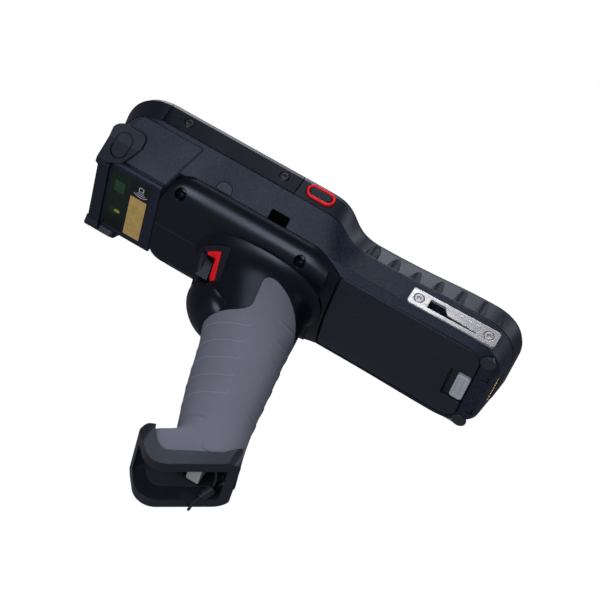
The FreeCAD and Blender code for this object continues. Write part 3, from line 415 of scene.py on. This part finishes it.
def beads(name, lines, radius, finish):
    """Half-round beads along lines, tapered at both ends and moulded onto the sleeve."""
    verts, edges = [], []
    for line in lines:
        start = len(verts)
        verts += line
        edges += [(start + n, start + n + 1) for n in range(len(line) - 1)]
    mesh = bpy.data.meshes.new(name)
    mesh.from_pydata([tuple(v) for v in verts], edges, [])
    piece = bpy.data.objects.new(name, mesh)
    scene.collection.objects.link(piece)
    tree = bpy.data.node_groups.new(name + "_sweep", "GeometryNodeTree")
    tree.interface.new_socket("Geometry", in_out="INPUT", socket_type="NodeSocketGeometry")
    radius_in = tree.interface.new_socket("Radius", in_out="INPUT", socket_type="NodeSocketFloat")
    tree.interface.new_socket("Geometry", in_out="OUTPUT", socket_type="NodeSocketGeometry")
    start = tree.nodes.new("NodeGroupInput")
    end = tree.nodes.new("NodeGroupOutput")
    to_curve = tree.nodes.new("GeometryNodeMeshToCurve")
    along = tree.nodes.new("GeometryNodeSplineParameter")
    taper = tree.nodes.new("ShaderNodeFloatCurve")
    curve = taper.mapping.curves[0]
    curve.points[0].location = (0.0, END_SHARE)
    curve.points[1].location = (1.0, END_SHARE)
    curve.points.new(FULL_FROM, 1.0)
    curve.points.new(1.0 - FULL_FROM, 1.0)
    taper.mapping.update()
    profile = tree.nodes.new("GeometryNodeCurvePrimitiveCircle")
    profile.inputs["Resolution"].default_value = 10
    sweep = tree.nodes.new("GeometryNodeCurveToMesh")
    sweep.inputs["Fill Caps"].default_value = True
    whole = tree.nodes.new("GeometryNodeRealizeInstances")
    coat = tree.nodes.new("GeometryNodeSetMaterial")
    coat.inputs["Material"].default_value = finish.material
    link = tree.links.new
    link(start.outputs["Geometry"], to_curve.inputs["Mesh"])
    link(to_curve.outputs["Curve"], sweep.inputs["Curve"])
    link(along.outputs["Factor"], taper.inputs["Value"])
    link(start.outputs["Radius"], profile.inputs["Radius"])
    link(profile.outputs["Curve"], sweep.inputs["Profile Curve"])
    link(taper.outputs["Value"], sweep.inputs["Scale"])
    link(sweep.outputs["Mesh"], whole.inputs["Geometry"])
    link(whole.outputs["Geometry"], coat.inputs["Geometry"])
    link(coat.outputs["Geometry"], end.inputs["Geometry"])
    modifier = piece.modifiers.new("sweep", "NODES")
    modifier.node_group = tree
    modifier[radius_in.identifier] = radius
    made = settled(piece)
    piece.modifiers.clear()
    piece.data = made
    made.name = name
    smooth(made)
    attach(piece, "terminal")


# The front lines are a lighter grey than the sleeve: a painted highlight along them.
line_painted_highlight = moulded("sleeve_line_painted_highlight", (0.270, 0.272, 0.330), 0.50, 0.00035, 0.00001, 0.08)
front_levels = [FRONT_LINE_TOP - FRONT_LINE_PITCH * n for n in range(FRONT_LINES)]
beads("sleeve_front_lines", [front_line(level) for level in front_levels], FRONT_LINE_RADIUS,
      line_painted_highlight)
back_levels = [BACK_RIB_TOP - BACK_RIB_PITCH * n for n in range(BACK_RIBS)]
beads("sleeve_back_ribs", [back_rib(level) for level in back_levels], BACK_RIB_RADIUS, sleeve)

# ---- trigger ---------------------------------------------------------------------------------
# A glossy black trigger swings on a steel pin between the ears of a grey bezel, with a strip of
# red trim beside it, and presses a small switch behind it. The side buttons' rings are the same
# red, and the battery pack and the scan engine the same plain black as the switch.
trigger_black = moulded("trigger_black", (0.0075, 0.0078, 0.0100), 0.20, 0.0006, 0.000008, 0.2)
trigger_black.onto("trigger")
bezel_grey = moulded("bezel_grey", (0.016, 0.017, 0.023), 0.22, 0.0006, 0.000010, 0.2)
bezel_grey.onto("trigger_bezel")
red = moulded("trim_red", (1.00, 0.012, 0.020), 0.40, 0.0010, 0.000008, 0.10)
red.onto("trigger_trim", "side_ring_right", "side_ring_left")
plain_black = moulded("plain_black", (0.020, 0.020, 0.024), 0.45, 0.0006, 0.00002, 0.3)
plain_black.onto("trigger_switch", "battery_pack", "scan_engine")

# ---- scan window -----------------------------------------------------------------------------
# A flat coated window closes the nose: dark green over the camera and the aimer, printed black
# beyond. A plain amber sticker and a white scan mark lie on the black part.
window_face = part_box("scan_window")[0].z
PRINTED_FROM_Y = -0.0845
glass = Finish("window_glass", Roughness=0.10, IOR=1.35)
over_lens = glass.axis("Y") < PRINTED_FROM_Y
# Over the lenses the green darkens to near black towards -X: painted shade across the flat window.
painted_shade_share = glass.spread(glass.axis("X"), -0.0150, -0.0060)
green = glass.blend(glass.spread(glass.grains(0.010, 2.0), 0.3, 0.7),
                    tone(0.0045, 0.0170, 0.0105), tone(0.0075, 0.0250, 0.0150))
green_with_painted_shade = glass.blend(painted_shade_share, tone(0.0030, 0.0045, 0.0045), green)
printed = glass.blend(glass.spread(glass.grains(0.0006, 3.0), 0.3, 0.7),
                      tone(0.0085, 0.0095, 0.0120), tone(0.0120, 0.0130, 0.0170))
glass.colour(glass.blend(over_lens, printed, green_with_painted_shade))
glass.onto("scan_window")


def on_window(name, verts, faces, finish):
    """Fix a thin closed mesh to the window, every face turned outwards."""
    mesh = bpy.data.meshes.new(name)
    mesh.from_pydata(verts, [], faces)
    work = bmesh.new()
    work.from_mesh(mesh)
    bmesh.ops.remove_doubles(work, verts=work.verts, dist=1e-7)
    bmesh.ops.recalc_face_normals(work, faces=work.faces)
    work.to_mesh(mesh)
    work.free()
    mesh.materials.append(finish.material)
    piece = bpy.data.objects.new(name, mesh)
    scene.collection.objects.link(piece)
    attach(piece, "terminal")


def plate(name, outline, thickness, finish):
    """Thin plate lying on the window's outer face, from an outline in millimetres."""
    count = len(outline)
    verts = [(x / 1000, y / 1000, window_face) for x, y in outline]
    verts += [(x / 1000, y / 1000, window_face - thickness) for x, y in outline]
    faces = [(n, (n + 1) % count, (n + 1) % count + count, n + count) for n in range(count)]
    faces += [tuple(range(count)), tuple(range(2 * count - 1, count - 1, -1))]
    on_window(name, verts, faces, finish)


def rounded_outline(centre_x, centre_y, width, length, corner):
    """Rectangle with round corners, as points in millimetres."""
    points = []
    for quarter, (sx, sy) in enumerate(((1, 1), (-1, 1), (-1, -1), (1, -1))):
        for step in range(6):
            angle = math.radians(quarter * 90 + step * 18)
            points.append((centre_x + sx * (width / 2 - corner) + corner * math.cos(angle),
                           centre_y + sy * (length / 2 - corner) + corner * math.sin(angle)))
    return points


LENS_FILM = 0.00004
PRINT_FILM = 0.00005
STICKER_FILM = 0.00006

lens_green = Finish("camera_lens", Roughness=0.15, IOR=1.4)
# The camera lens's green is lighter towards +X: painted light across the flat lens.
painted_light_slope = lens_green.spread(lens_green.axis("X"), 0.0055, 0.0135)
lens_green.colour(lens_green.blend(
    painted_light_slope, tone(0.0200, 0.0560, 0.0320), tone(0.0290, 0.0760, 0.0450)))
lens_green.rough(lens_green.spread(lens_green.grains(0.006, 2.0), 0.3, 0.7, 0.08, 0.2))
plate("camera_lens", rounded_outline(9.7, -89.5, 7.4, 5.3, 0.5), LENS_FILM, lens_green)
aim_green = Finish("aimer_lens", Roughness=0.15, IOR=1.4)
aim_green.colour(aim_green.blend(aim_green.spread(aim_green.grains(0.004), 0.3, 0.7),
                                 tone(0.0070, 0.0240, 0.0150), tone(0.0130, 0.0340, 0.0210)))
plate("aimer_lens", rounded_outline(-7.4, -91.0, 4.6, 3.2, 0.5), LENS_FILM, aim_green)
aim_dot = Finish("aimer_dot", Roughness=0.15, IOR=1.5, Coat_Weight=1.0, Coat_Roughness=0.03)
aim_dot.colour(aim_dot.blend(aim_dot.spread(aim_dot.grains(0.002), 0.3, 0.7),
                             tone(0.30, 0.32, 0.010), tone(0.48, 0.48, 0.020)))
plate("aimer_dot", rounded_outline(-6.9, -88.5, 2.0, 3.0, 0.95), PRINT_FILM, aim_dot)

RULES_PER_METRE = 6000.0
amber = Finish("amber_sticker", Roughness=0.4, IOR=1.45)
row_x, row_y = amber.axis("X"), amber.axis("Y")
wave = amber.node("ShaderNodeMath", {"operation": "SINE"}, {0: row_y * RULES_PER_METRE})
rules = amber.spread(wave, 0.55, 0.95)
broken = amber.spread(amber.grains(0.0011, 1.0), 0.46, 0.54)
inner = (row_x > -0.0175) * (row_x < 0.0035) * (row_y > -0.0825) * (row_y < -0.0758)
paper = amber.blend(amber.spread(amber.grains(0.003), 0.3, 0.7),
                    tone(0.60, 0.41, 0.130), tone(0.72, 0.50, 0.170))
amber.colour(amber.blend(0.55 * rules * broken * inner, paper, tone(0.20, 0.125, 0.050)))
plate("amber_sticker", rounded_outline(-5.1, -79.1, 27.2, 8.6, 0.3), STICKER_FILM, amber)

ink = Finish("white_ink", Roughness=0.45)
ink.colour(ink.blend(ink.spread(ink.grains(0.0008), 0.3, 0.7),
                     tone(0.50, 0.50, 0.58), tone(0.66, 0.66, 0.74)))


def ring_outline(name, centre_x, centre_y, width, length, corner, band):
    """Closed band: a rounded square with a rounded square hole, as one thin mesh."""
    outer = rounded_outline(centre_x, centre_y, width, length, corner)
    hole = rounded_outline(
        centre_x, centre_y, width - 2 * band, length - 2 * band, max(corner - band, 0.05))
    count = len(outer)
    levels = (window_face, window_face - PRINT_FILM)
    verts = [(x / 1000, y / 1000, z) for z in levels for ring in (outer, hole) for x, y in ring]
    faces = []
    for n in range(count):
        m = (n + 1) % count
        faces.append((n, m, m + count, n + count))
        faces.append((n + 2 * count, n + 3 * count, m + 3 * count, m + 2 * count))
        faces.append((n, n + 2 * count, m + 2 * count, m))
        faces.append((n + count, m + count, m + 3 * count, n + 3 * count))
    on_window(name, verts, faces, ink)


MARK_Y = -78.6
ring_outline("scan_mark_square", 15.3, MARK_Y, 3.0, 2.6, 0.5, 0.45)
WAVE_X = 14.9
WAVE_HALF = 0.21
for index, (reach, opening) in enumerate(((2.3, 40), (3.5, 40), (4.7, 48))):
    arc_points = []
    for side in (WAVE_HALF, -WAVE_HALF):
        angles = range(-opening, opening + 1, 8)
        for angle in (angles if side > 0 else reversed(angles)):
            a = math.radians(180 + angle)
            arc_points.append((WAVE_X + (reach + side) * math.cos(a),
                               MARK_Y + (reach + side) * math.sin(a)))
    plate("scan_mark_wave_" + str(index + 1), arc_points, PRINT_FILM, ink)

# ---- screen and what lies behind it ------------------------------------------------------------
# The cover glass is black-backed with a slightly bluer active area, set just below the rim. The
# display, the two circuit boards and a light metal frame are stacked behind it. The boards are
# black solder mask, darkened further to near black as painted shade for the openings they are seen
# through.
SIDE_BORDER = 0.006
HEAD_BORDER = 0.012
CHIN_BORDER = 0.010
screen = Finish("cover_glass", Roughness=0.05, IOR=1.52, Coat_Weight=0.5, Coat_Roughness=0.02)
screen_low, screen_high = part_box("display_glass")
active = screen.axis("X").size() < screen_high.x - SIDE_BORDER
active = active * (screen.axis("Y") > screen_low.y + HEAD_BORDER)
active = active * (screen.axis("Y") < screen_high.y - CHIN_BORDER)
smear = screen.grains(0.018, 3.0)
screen.colour(screen.blend(active, tone(0.0035, 0.0035, 0.0045), screen.blend(
    screen.spread(smear, 0.3, 0.7), tone(0.011, 0.013, 0.018), tone(0.014, 0.016, 0.022))))
screen.rough(screen.spread(smear, 0.35, 0.7, 0.04, 0.10))
screen.onto("display_glass")
# Near black: black solder mask, made darker still as painted shade where the boards show through
# openings.
board = Finish("circuit_board_painted_shade", Roughness=0.4)
tracks = board.node("ShaderNodeTexBrick", {}, {
    "Vector": board.place, "Scale": 160.0, "Color1": tone(0.0025, 0.0040, 0.0038),
    "Color2": tone(0.0035, 0.0050, 0.0050), "Mortar": tone(0.0050, 0.0065, 0.0065)})
board.colour(tracks)
board.onto("display_module", "main_board", "key_board")
frame_metal = Finish("light_metal", Metallic=1.0)
frame_metal.colour(frame_metal.blend(frame_metal.spread(frame_metal.grains(0.002, 4.0), 0.3, 0.7),
                                     tone(0.42, 0.43, 0.45), tone(0.60, 0.61, 0.63)))
frame_metal.rough(frame_metal.spread(frame_metal.grains(0.0015, 4.0), 0.3, 0.7, 0.28, 0.42))
frame_metal.onto("mid_frame")

# ---- keypad ----------------------------------------------------------------------------------
# Moulded keycaps stand on a rubber mat, digits printed white, with a broad blue scan key above
# them and a blue enter key beside zero. The gasket between the housings is the same rubber.
caps = moulded("keycap_black", (0.020, 0.021, 0.026), 0.42, 0.0005, 0.00002, 0.2)
caps.onto("key_dot", "key_0", *["key_" + str(n) for n in range(1, 10)])
blue_caps = moulded("keycap_blue", (0.018, 0.075, 0.230), 0.40, 0.0005, 0.00002, 0.15)
blue_caps.onto("scan_key", "key_enter")
soft_black = moulded("seal_rubber", (0.010, 0.010, 0.011), 0.6, 0.0005, 0.00002, 0.2)
soft_black.onto("key_mat", "housing_gasket")
legend_ink = Finish("legend_white", Roughness=0.5)
legend_ink.colour(legend_ink.blend(legend_ink.spread(legend_ink.grains(0.0008), 0.3, 0.7),
                                   tone(0.62, 0.62, 0.62), tone(0.78, 0.78, 0.78)))
LEGEND_THICK = 0.00004
DIGIT_HEIGHT = 0.0078


def legend(node, mesh):
    """Fix printed signs to a keycap."""
    mesh.materials.append(legend_ink.material)
    piece = bpy.data.objects.new("legend_" + node, mesh)
    scene.collection.objects.link(piece)
    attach(piece, node + "_body")


def printed_digit(node, sign):
    """A digit printed in the middle of a keycap, upright when the screen is read from the tail."""
    low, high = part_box(node)
    letters = bpy.data.curves.new("legend_" + node, "FONT")
    letters.body = sign
    letters.size = DIGIT_HEIGHT
    letters.align_x = "CENTER"
    letters.align_y = "CENTER"
    letters.extrude = LEGEND_THICK / 2
    draft = bpy.data.objects.new("draft", letters)
    scene.collection.objects.link(draft)
    mesh = settled(draft)
    bpy.data.objects.remove(draft)
    facing = Matrix.Rotation(math.pi, 4, "Z")
    place = Vector(((low.x + high.x) / 2, (low.y + high.y) / 2, high.z + LEGEND_THICK / 2))
    mesh.transform(Matrix.Translation(place) @ facing)
    mesh.materials.clear()
    legend(node, mesh)


for number in range(10):
    printed_digit("key_" + str(number), str(number))
printed_digit("key_dot", ".")


BLOCK_FACES = ((3, 2, 1, 0), (4, 5, 6, 7), (0, 1, 5, 4), (1, 2, 6, 5), (2, 3, 7, 6), (3, 0, 4, 7))


def printed_bars(node, bars):
    """Printed strokes on a keycap, each (x, y, width, length) in millimetres from its middle."""
    low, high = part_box(node)
    middle_x, middle_y = (low.x + high.x) / 2, (low.y + high.y) / 2
    verts, faces = [], []
    for x, y, width, length in bars:
        start = len(verts)
        for z in (high.z, high.z + LEGEND_THICK):
            for sx, sy in ((-1, -1), (1, -1), (1, 1), (-1, 1)):
                verts.append((middle_x + (x + sx * width / 2) / 1000,
                              middle_y + (y + sy * length / 2) / 1000, z))
        for face in BLOCK_FACES:
            faces.append(tuple(start + n for n in face))
    mesh = bpy.data.meshes.new("legend_" + node)
    mesh.from_pydata(verts, [], faces)
    legend(node, mesh)


BARS = ((-4.0, 0.5), (-2.8, 1.0), (-1.5, 0.4), (-0.6, 0.6), (0.7, 1.0), (2.1, 0.4), (3.0, 0.9),
        (4.2, 0.4))
printed_bars("scan_key", [(x, 0.0, width, 4.6) for x, width in BARS])
printed_bars("key_enter", [(0.0, 0.0, 5.0, 0.7), (2.15, -1.2, 0.7, 1.9), (-1.9, 0.65, 1.3, 0.6),
                           (-1.9, -0.65, 1.3, 0.6)])

# ---- side buttons, screws and small fittings ---------------------------------------------------
# The side buttons and the latch are plain grey mouldings, and small plugs cover the port and the
# tail screws. The hand strap's plates are polished, their screws bright and the rails' blackened.
side_grey = moulded("side_button_grey", (0.015, 0.016, 0.021), 0.35, 0.0005, 0.00001, 0.25)
side_grey.onto("side_button_right", "side_button_left")
plug_grey = moulded("plug_grey", (0.030, 0.032, 0.040), 0.40, 0.0005, 0.00001, 0.20)
plug_grey.onto("tail_plugs")
port_grey = moulded("port_plug", (0.0125, 0.0140, 0.0205), 0.42, 0.0005, 0.00001, 0.25)
port_grey.onto("side_port_plug")
latch = moulded("latch_grey", (0.520, 0.560, 0.640), 0.40, 0.0005, 0.00001, 0.12)
latch.onto("battery_latch")


def metal(name, shade, rough_low, rough_high, scratch, bareness=1.0):
    """Bare or plated metal with fine scratches along the row's Y axis."""
    finish = Finish(name, Metallic=bareness)
    drawn = finish.node("ShaderNodeMapping", {}, {"Vector": finish.place, "Scale": (9.0, 1.0, 9.0)})
    lines = finish.node("ShaderNodeTexNoise", {}, {
        "Vector": drawn, "Scale": scratch, "Detail": 5.0})
    share = finish.spread(lines, 0.35, 0.65)
    finish.colour(finish.blend(share, tone(*shade, 0.82), tone(*shade, 1.0)))
    finish.rough(finish.spread(lines, 0.35, 0.65, rough_high, rough_low))
    finish.relief(lines, 0.000004)
    return finish


chrome = metal("polished_plate", (0.62, 0.62, 0.65), 0.12, 0.25, 260.0, 0.5)
chrome.onto("strap_plate_right", "strap_plate_left")
steel = metal("screw_steel", (0.50, 0.50, 0.53), 0.25, 0.4, 900.0)
steel.onto("strap_screws", "saddle_screws", "trigger_pin", "trigger_spring")
dark_steel = metal("black_screw", (0.060, 0.060, 0.070), 0.3, 0.45, 900.0)
dark_steel.onto("rail_screws", "housing_screws")
gold = metal("gold_contacts", (0.85, 0.62, 0.28), 0.2, 0.3, 900.0)
gold.onto("tail_contacts")

# ---- studio floor ------------------------------------------------------------------------------
# A wide, pale, matt floor far below the scanner, out of the main view.
FLOOR_DROP = 1.3
FLOOR_HALF = 3
floor_mesh = bpy.data.meshes.new("studio_floor")
corners = ((-1, -1), (1, -1), (1, 1), (-1, 1))
floor_mesh.from_pydata([(x * FLOOR_HALF, y * FLOOR_HALF, -FLOOR_DROP) for x, y in corners],
                       [], [(0, 1, 2, 3)])
pale = Finish("pale_floor", Roughness=0.8)
pale.colour(pale.blend(pale.grains(0.4), tone(0.80, 0.80, 0.80), tone(0.84, 0.84, 0.84)))
floor_mesh.materials.append(pale.material)
studio_floor = bpy.data.objects.new("studio_floor", floor_mesh)
scene.collection.objects.link(studio_floor)
